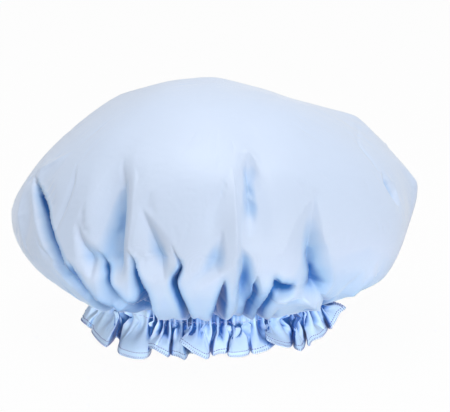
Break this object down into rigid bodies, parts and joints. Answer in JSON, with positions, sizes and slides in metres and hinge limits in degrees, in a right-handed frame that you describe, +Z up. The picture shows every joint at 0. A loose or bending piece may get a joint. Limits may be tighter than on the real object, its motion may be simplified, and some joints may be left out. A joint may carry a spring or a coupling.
{
  "type": "shower cap",
  "caption": "Puffed satin shower cap with a waterproof lining, a gathered crown, an elastic neck in a stitched casing and a pleated frill, standing on its hem.",
  "frame": {"origin": "on the surface that the cap stands on, at the middle of the cap's outer box, which is the axis of its neck to within 2 mm", "axes": "+Z up through the crown, -Y towards the front of the picture, +X to its right"},
  "size_m": [0.2721, 0.2533, 0.165],
  "materials": {
    "satin_cloth": "pale sky-blue polyester satin, soft sheen",
    "lining_film": "thin translucent waterproof film, slightly glossy",
    "elastic_weave": "white braided elastic, matt and ribbed",
    "thread": "polyester sewing thread, blue to match the cloth"
  },
  "bodies": {
    "root": {"outer_crown": "satin_cloth", "waterproof_lining": "lining_film", "frill": "satin_cloth", "casing_tape": "satin_cloth", "elastic_band": "elastic_weave", "elastic_tack": "thread", "upper_casing_stitching": "thread", "lower_casing_stitching": "thread", "hem_stitching": "thread"}
  },
  "joints": []
}
